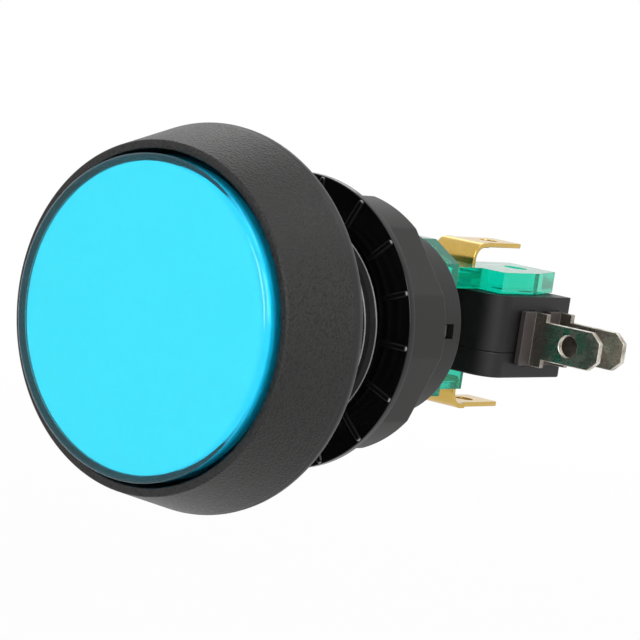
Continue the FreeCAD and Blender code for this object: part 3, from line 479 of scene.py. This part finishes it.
def grid_quads(rows, columns, close_rows=False, close_columns=False):
    """Corner numbers of a grid's quads; a closed direction joins its last line to its first."""
    i, j = np.meshgrid(
        np.arange(rows if close_rows else rows - 1),
        np.arange(columns if close_columns else columns - 1), indexing="ij")
    below, beside = (i + 1) % rows, (j + 1) % columns
    corners = [i * columns + j, below * columns + j, below * columns + beside, i * columns + beside]
    return np.stack(corners, -1).reshape(-1, 4)


def seat(name, mesh, finish, body, nodes, sharp):
    """Puts a finished mesh into the scene on its body, in place of its solids. Its shading is smooth except
    over edges that turn by more than the sharp angle, in degrees."""
    mesh.materials.clear()
    mesh.materials.append(finish)
    mesh.shade_smooth()
    mesh.set_sharp_from_angle(angle=math.radians(sharp))
    made = bpy.data.objects.new(name, mesh)
    bpy.context.scene.collection.objects.link(made)
    if body:
        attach(made, body)
    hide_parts(*nodes)
    return made


def piece(name, points, faces, finish, body, nodes, slot, sharp=38):
    """A new piece from points in millimetres: doubles merged, faces turned outwards."""
    mesh = bpy.data.meshes.new(name)
    mesh.from_pydata((np.asarray(points, float).reshape(-1, 3) * MM).tolist(), [], faces.tolist())
    shaped = bmesh.new()
    shaped.from_mesh(mesh)
    bmesh.ops.remove_doubles(shaped, verts=shaped.verts, dist=WELD)
    bmesh.ops.recalc_face_normals(shaped, faces=shaped.faces)
    shaped.to_mesh(mesh)
    shaped.free()
    made = seat(name, mesh, finish, body, nodes, sharp)
    even = made.modifiers.new("even_shading", "WEIGHTED_NORMAL")
    even.keep_sharp = True
    return made


def merged(node):
    """A copy of a solid's mesh, and its shape with the doubles merged, ready for more work."""
    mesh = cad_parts[node].data.copy()
    shaped = bmesh.new()
    shaped.from_mesh(mesh)
    bmesh.ops.remove_doubles(shaped, verts=shaped.verts, dist=SOLID_WELD)
    return mesh, shaped


def dressed(node, finish, body, edge=0.12, steps=2):
    """A copy of a solid's mesh: flat facets joined, and every edge softened by a small round."""
    mesh, shaped = merged(node)
    bmesh.ops.dissolve_limit(
        shaped, angle_limit=math.radians(FLAT_ANGLE), verts=shaped.verts, edges=shaped.edges)
    shaped.to_mesh(mesh)
    shaped.free()
    made = seat(f"{node}_dressed", mesh, finish, body, [node], SHARP_ANGLE)
    soft = made.modifiers.new("soft_edges", "BEVEL")
    soft.width = edge * MM
    soft.segments = steps
    soft.limit_method = "ANGLE"
    soft.angle_limit = math.radians(EDGE_ANGLE)
    soft.use_clamp_overlap = True
    soft.harden_normals = True
    return made


def softened(corners):
    """A closed outline whose corners (across, along, radius) become arcs tangent to both sides:
    the arc's centre lies on the corner's bisector at radius / sin(half angle)."""
    table = np.array(corners, float)
    here, radius = table[:, :2], np.maximum(table[:, 2:], LEAST_ROUND)
    to_last, to_next = np.roll(here, 1, 0) - here, np.roll(here, -1, 0) - here
    to_last /= np.linalg.norm(to_last, axis=1, keepdims=True)
    to_next /= np.linalg.norm(to_next, axis=1, keepdims=True)
    half = np.arccos(np.clip((to_last * to_next).sum(1, keepdims=True), -1, 1)) / 2
    reach = radius / np.tan(half)
    middle = (to_last + to_next) / np.linalg.norm(to_last + to_next, axis=1, keepdims=True)
    centre = here + middle * radius / np.sin(half)
    first = (here + to_last * reach - centre)[:, None, :]
    last = (here + to_next * reach - centre)[:, None, :]
    turn = (math.pi - 2 * half)[:, None, :]
    t = np.linspace(0, 1, CORNER_STEPS)[None, :, None]
    arc = (np.sin((1 - t) * turn) * first + np.sin(t * turn) * last) / np.sin(turn)
    return (centre[:, None, :] + arc).reshape(-1, 2)


def turned(outline, segments):
    """Points of an outline (radius, along) turned about the button's axis, and the quads between them."""
    turn = np.linspace(0, FULL_TURN, segments, endpoint=False)
    radius, along = outline[:, :1], outline[:, 1:]
    points = np.stack([radius * np.cos(turn), along + 0 * turn, radius * np.sin(turn)], -1)
    return points, grid_quads(len(outline), segments, True, True)


def carried(sections):
    """Points of closed sections along a path, each end drawn in to its section's middle, and their quads."""
    ends = np.broadcast_to(sections[[0, -1]].mean(1, keepdims=True), (2, *sections.shape[1:]))
    points = np.concatenate([ends[:1], sections, ends[1:]])
    return points, grid_quads(points.shape[0], points.shape[1], False, True)


def bezel():
    """Bezel and front part of the barrel: one closed outline turned about the axis."""
    outline = softened([
        (CUP_RADIUS, BEZEL_FRONT, 0.15),
        (BEZEL_FRONT_RADIUS, BEZEL_FRONT, 0.3),
        (BEZEL_RADIUS, BEZEL_RIM, 0.9),
        (BEZEL_RADIUS, 0.0, 1.4),
        (THREAD_ROOT, 0.0, 0.3),
        (THREAD_ROOT, THREAD_END, 0.2),
        (BARREL_RADIUS, THREAD_END + THREAD_END_STEP, 0.0),
        (BARREL_BORE, THREAD_END + THREAD_END_STEP, 0.0),
        (BARREL_BORE, GUIDE_END, 0.1),
        (GUIDE_RADIUS, GUIDE_END, 0.1),
        (GUIDE_RADIUS, CUP_FLOOR, 0.2),
        (CUP_RADIUS, CUP_FLOOR, 0.4),
    ])
    piece("bezel", *turned(outline, ROUND_STEPS), BEZEL, "housing", ["bezel_housing"], "housing_plastic")


def collar():
    """Rear end of the barrel: a tube of cells between turn lines and rings, with the cells of the bayonet
    windows empty. Outer and inner skins cover the filled cells, and walls stand where a filled cell meets an
    empty one."""
    half = WINDOW_WIDTH / 2 / BARREL_RADIUS
    centres = WINDOW_ANGLE + np.arange(WINDOW_COUNT) * FULL_TURN / WINDOW_COUNT
    shared = FULL_TURN / WINDOW_COUNT
    steps = np.concatenate([[-half, 0.0, half], np.linspace(half, shared - half, WINDOW_STEPS)[1:-1]])
    turns = (centres[:, None] + np.sort(steps)).ravel()
    ease = np.linspace(0.0, 1.0, BARREL_END_RINGS)
    end_rings = BARREL_END - BARREL_END_CHAMFER * (1 - ease)
    rings = np.concatenate([[THREAD_END + THREAD_END_STEP, WINDOW_FROM, WINDOW_TO], end_rings])
    outer = np.full_like(rings, BARREL_RADIUS)
    outer[-len(ease):] -= BARREL_END_CHAMFER / 2 * (1 - np.sqrt(1 - ease ** 2))
    inner = np.full_like(rings, BARREL_BORE)
    column = np.arange(len(turns)) % len(steps)
    in_window = (column < 2)[:, None] & ((rings[:-1] >= WINDOW_FROM) & (rings[1:] <= WINDOW_TO))
    filled = ~in_window
    radius = np.stack([outer, inner])[:, None, :]
    points = np.stack([
        radius * np.cos(turns)[None, :, None],
        np.broadcast_to(rings, (2, len(turns), len(rings))),
        radius * np.sin(turns)[None, :, None],
    ], -1)
    number = np.arange(points.shape[0] * points.shape[1] * points.shape[2]).reshape(points.shape[:3])
    ahead = np.roll(number, -1, 1)
    skins = np.stack([number[:, :, :-1], ahead[:, :, :-1], ahead[:, :, 1:], number[:, :, 1:]], -1)
    side = filled != np.roll(filled, 1, 0)
    sides = np.stack([number[0, :, :-1], number[0, :, 1:], number[1, :, 1:], number[1, :, :-1]], -1)
    edge = np.pad(filled, ((0, 0), (1, 1)))
    ring_wall = edge[:, 1:] != edge[:, :-1]
    ring_walls = np.stack([number[0], ahead[0], ahead[1], number[1]], -1)
    faces = np.concatenate([skins[0][filled], skins[1][filled], sides[side], ring_walls[ring_wall]])
    piece("barrel_collar", points, faces, COLLAR, "housing", [], "housing_plastic", 25)


def thread():
    """Barrel thread: a ridge carried along a right-handed helix and faded at its ends. Across its width the
    ridge is a hyperbola: straight flanks, and a crest rounded over a tenth of the half width."""
    turns = (THREAD_TO - THREAD_FROM) / THREAD_PITCH
    t = np.linspace(0, turns, int(turns * THREAD_STEPS))
    fade = np.clip(np.minimum(t, turns - t) / THREAD_FADE_TURNS, 0.0, 1.0)
    fade = fade * fade * (3 - 2 * fade)
    even = np.linspace(-1.0, 1.0, THREAD_POINTS)
    spread = even ** 3 * THREAD_CROWDING + even * (1 - THREAD_CROWDING)
    shift = np.concatenate([spread, [THREAD_FOOT, -THREAD_FOOT]]) * THREAD_HALF_WIDTH
    foot = math.hypot(1.0, THREAD_TIP)
    ridge = (foot - np.hypot(spread, THREAD_TIP)) / (foot - THREAD_TIP)
    rise = np.concatenate([ridge, [-THREAD_FOOT, -THREAD_FOOT]])
    height = THREAD_CREST - THREAD_ROOT
    lift = np.where(rise >= 0, rise * fade[:, None], rise)
    radius = THREAD_ROOT - THREAD_SINK + (height + THREAD_SINK) * lift
    angle = FULL_TURN * (t[:, None] + THREAD_START_TURN)
    along = THREAD_FROM + THREAD_PITCH * t[:, None] + shift
    sections = np.stack([radius * np.sin(angle), along, radius * np.cos(angle)], -1)
    piece("barrel_thread", *carried(sections), THREAD, "housing", [], "housing_plastic", 60)


def lens():
    """Lens cap: its outline runs from the axis over a crowned edge, a quarter ellipse, down the skirt and
    back inside it to the axis."""
    turn = np.linspace(0, math.pi / 2, LENS_EDGE_STEPS)
    crown = np.stack([
        LENS_RADIUS - LENS_EDGE_WIDTH + LENS_EDGE_WIDTH * np.sin(turn),
        LENS_FACE + LENS_EDGE_DROP * (1 - np.cos(turn)),
    ], -1)
    rest = np.array([
        (LENS_RADIUS, LENS_SKIRT_END),
        (LENS_INNER_RADIUS, LENS_SKIRT_END),
        (LENS_INNER_RADIUS, LENS_BACK + LENS_CORNER),
        (LENS_INNER_RADIUS - LENS_CORNER_EASE, LENS_BACK + LENS_CORNER_EASE),
        (LENS_INNER_RADIUS - LENS_CORNER, LENS_BACK),
        (0.0, LENS_BACK),
    ])
    outline = np.concatenate([[(0.0, LENS_FACE)], crown, rest])
    piece("lens", *turned(outline, ROUND_STEPS), LENS, "button", ["lens_cap"], "lens_plastic")


def diffuser():
    """Diffuser disc just under the lens, with a softened rim."""
    front = LENS_BACK + DIFFUSER_GAP
    outline = softened([
        (0.0, front, 0.0),
        (DIFFUSER_RADIUS, front, 0.2),
        (DIFFUSER_RADIUS, DIFFUSER_BACK, 0.1),
        (0.0, DIFFUSER_BACK, 0.0),
    ])
    piece("diffuser", *turned(outline, DISC_STEPS), WHITE, "button", ["diffuser_disc"], "white_plastic")


def nut_radius(turn):
    """Body radius of the nut: a circle cut by flats, flat distance / cos(angle from the flat's middle)."""
    span = FULL_TURN / NUT_FLATS
    away = (turn - NUT_FLAT_ANGLE + span / 2) % span - span / 2
    return np.minimum(NUT_BODY_RADIUS, NUT_FLAT / np.cos(away))


def nut():
    """Flanged nut: a turned outline whose body rows follow the flats, in proportion to a weight per row."""
    outline = softened([
        (NUT_BORE, NUT_FACE, 0.2),
        (NUT_FLANGE_RADIUS, NUT_FACE, 0.12),
        (NUT_FLANGE_RADIUS, NUT_FLANGE_BACK, 0.3),
        (NUT_BODY_RADIUS, NUT_FLANGE_BACK, 0.35),
        (NUT_BODY_RADIUS, NUT_BACK, 0.45),
        (NUT_BORE, NUT_BACK, 0.25),
    ])
    points, faces = turned(outline, NUT_STEPS)
    turn = np.linspace(0, FULL_TURN, NUT_STEPS, endpoint=False)
    radius, along = outline.T
    weight = (radius > NUT_FLATS_INNER) & (radius < NUT_FLATS_OUTER) & (along > NUT_FLATS_FRONT)
    scale = 1 + weight[:, None] * (nut_radius(turn) - NUT_BODY_RADIUS) / NUT_BODY_RADIUS
    points[..., 0] *= scale
    points[..., 2] *= scale
    piece("nut", points, faces, NUT, "nut", ["mounting_nut"], "nut_plastic", 30)


def nut_ribs():
    """Raised ribs on the clamping face: one bar along a radius, its section drawn in to round ends by quarter
    circles, repeated by turning about the axis."""
    across = RIB_ACROSS * RIB_WIDTH
    rise = RIB_RISE * RIB_HEIGHT
    turned_end = np.linspace(0, math.pi / 2, RIB_END_STEPS)
    reach = np.concatenate([
        RIB_START + RIB_END_ROUND * (1 - np.cos(turned_end)),
        RIB_END - RIB_END_ROUND * (1 - np.sin(turned_end)),
    ])
    swell = np.concatenate([np.sin(turned_end), np.cos(turned_end)])
    turn = (RIB_ANGLE + np.arange(RIB_COUNT) * FULL_TURN / RIB_COUNT)[:, None, None]
    along = NUT_FACE - np.where(rise > 0, rise * swell[:, None], rise)
    out, wide = reach[:, None], across * swell[:, None]
    points = np.stack([
        out * np.cos(turn) - wide * np.sin(turn),
        np.broadcast_to(along, (RIB_COUNT, *along.shape)),
        out * np.sin(turn) + wide * np.cos(turn),
    ], -1)
    one = grid_quads(len(reach), len(across), False, True)
    faces = (one[None] + (np.arange(RIB_COUNT) * along.size)[:, None, None]).reshape(-1, 4)
    piece("nut_ribs", points, faces, RIB, "nut", [], "nut_plastic", 50)


def spring():
    """Return spring: a round section carried along a helix between the cup's floor and the tray."""
    t = np.linspace(0, SPRING_TURNS, SPRING_STEPS)[:, None]
    ring = np.linspace(0, FULL_TURN, SPRING_SIDES, endpoint=False)
    low = TRAY_BACK + SPRING_WIRE + SPRING_GAP
    high = CUP_FLOOR - SPRING_WIRE - SPRING_GAP
    radius = SPRING_RADIUS + SPRING_WIRE * np.cos(ring)
    along = low + (high - low) * t / SPRING_TURNS + SPRING_WIRE * np.sin(ring)
    sections = np.stack([radius * np.cos(FULL_TURN * t), along, radius * np.sin(FULL_TURN * t)], -1)
    made = piece("spring", *carried(sections), SPRING, "housing", ["return_spring"], "spring_steel")
    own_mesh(made)


def blade_length(name, nodes, first, last):
    """One length of the snap blade: its solid cut square to X at both ends, with a row of points every half
    millimetre."""
    mesh, shaped = merged("snap_blade")
    cuts = [(place, {}) for place in np.arange(first, last, BLADE_ROW)[1:]]
    cuts += [(first, {"clear_inner": True}), (last, {"clear_outer": True})]
    for place, kept in cuts:
        cut = bmesh.ops.bisect_plane(
            shaped, geom=[*shaped.verts, *shaped.edges, *shaped.faces], dist=WELD,
            plane_co=(place * MM, 0, 0), plane_no=(1, 0, 0), **kept)
        rim = [part for part in cut["geom_cut"] if isinstance(part, bmesh.types.BMEdge)]
        if kept and any(edge.is_boundary for edge in rim):
            bmesh.ops.edgeloop_fill(shaped, edges=[edge for edge in rim if edge.is_boundary])
    bmesh.ops.recalc_face_normals(shaped, faces=shaped.faces)
    shaped.to_mesh(mesh)
    shaped.free()
    made = seat(name, mesh, BLADE, None, nodes, SHARP_ANGLE)
    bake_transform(made)


def snap_blade():
    """Snap blade in three lengths: root, tongue and end."""
    blade_length(
        "blade_root", ["snap_blade"], BLADE_ROOT, BLADE_CREST)
    blade_length(
        "blade_tongue", [], BLADE_CREST, BLADE_WAIST)
    blade_length(
        "blade_end", [], BLADE_WAIST, BLADE_TIP)


def camera():
    """Camera from its place and its right, up and back directions in the button's frame."""
    data = bpy.data.cameras.new("camera")
    data.lens = CAMERA_LENS
    data.sensor_width = CAMERA_SENSOR
    data.sensor_fit = "HORIZONTAL"
    data.clip_start, data.clip_end = CAMERA_RANGE
    made = bpy.data.objects.new("camera", data)
    matrix = Matrix.Identity(4)
    for row in range(3):
        matrix[row] = (CAMERA_RIGHT[row], CAMERA_UP[row], CAMERA_BACK[row], CAMERA_PLACE[row])
    made.matrix_world = matrix
    bpy.context.scene.collection.objects.link(made)
    bpy.context.scene.camera = made


def lamp(name, place, size, power):
    """Square soft white lamp that faces the button."""
    data = bpy.data.lights.new(name, "AREA")
    data.shape = "SQUARE"
    data.size = size
    data.energy = power
    made = bpy.data.objects.new(name, data)
    made.location = place
    made.rotation_mode = "QUATERNION"
    made.rotation_quaternion = Vector(place).to_track_quat("Z", "Y")
    bpy.context.scene.collection.objects.link(made)


def surroundings():
    """White world: at full strength for rays that see it, softer as light on the object."""
    world = bpy.data.worlds.new("studio")
    world.use_nodes = True
    bpy.context.scene.world = world
    nodes = Nodes(world.node_tree)
    white = (1.0, 1.0, 1.0, 1.0)
    light = nodes.node("ShaderNodeBackground", inputs={"Color": white, "Strength": WORLD_LIGHT})
    seen = nodes.node("ShaderNodeBackground", inputs={"Color": white, "Strength": 1.0})
    surface = nodes.own("ShaderNodeOutputWorld").inputs["Surface"]
    nodes.feed(surface, nodes.blend(nodes.shown(), light, seen))


def floor():
    """Pale floor that keeps the object's shadow near it and fades into the white surroundings further out."""
    finish = Finish("pale_floor", Roughness=0.9)
    finish.set(Base_Color=finish.mix(finish.noise(6.0), (0.90, 0.90, 0.90), (0.93, 0.93, 0.93)))
    away = finish.node(
        "ShaderNodeVectorMath", {"operation": "LENGTH"}, {0: finish.coordinates}, output="Value")
    lift = finish.shown() * (FLOOR_LIFT + finish.ramp(away, *FLOOR_FADE) * (1 - FLOOR_LIFT))
    glow = finish.node("ShaderNodeEmission", inputs={"Strength": 1.0})
    matte = Wire(finish, finish.shader.outputs[0])
    surface = finish.own("ShaderNodeOutputMaterial").inputs["Surface"]
    finish.feed(surface, finish.blend(lift, matte, glow))
    mesh = bpy.data.meshes.new("floor")
    corners = [(-1, -1), (1, -1), (1, 1), (-1, 1)]
    mesh.from_pydata(
        [(x * FLOOR_REACH, y * FLOOR_REACH, FLOOR_HEIGHT) for x, y in corners], [], [(0, 1, 2, 3)])
    mesh.materials.append(finish.material)
    made = bpy.data.objects.new("floor", mesh)
    bpy.context.scene.collection.objects.link(made)


def studio():
    """White surroundings, pale floor and soft lamps."""
    surroundings()
    floor()
    for name, (place, size, power) in LAMPS.items():
        lamp(name, place, size, power)


bezel()
collar()
thread()
lens()
diffuser()
nut()
nut_ribs()
spring()
dressed("plunger", WHITE, "button")
dressed("lamp_holder", HOLDER, "housing", 0.2, 3)
dressed("lamp_terminal_upper", BRASS, "housing", 0.1)
dressed("lamp_terminal_lower", BRASS, "housing", 0.1)
dressed("lamp_base", WHITE, "housing")
dressed("lamp_dome", GLASS, "housing", 0.05)
dressed("lamp_leads", CONTACT, "housing", 0.04)
dressed("switch_case", SWITCH, "housing", 0.25, 3)
dressed("switch_cover", SWITCH, "housing", 0.25, 3)
dressed("switch_pin", SWITCH, "pin", 0.2, 3)
dressed("front_terminal", TAB, "housing")
dressed("rear_terminal", TAB, "housing")
dressed("common_terminal", CONTACT, "housing")
snap_blade()
dressed("moving_contact", CONTACT, "contact", 0.1)
dressed("front_contact", CONTACT, "housing", 0.1)
dressed("rear_contact", CONTACT, "housing", 0.1)
camera()
studio()
bpy.context.scene.view_settings.view_transform = "Standard"
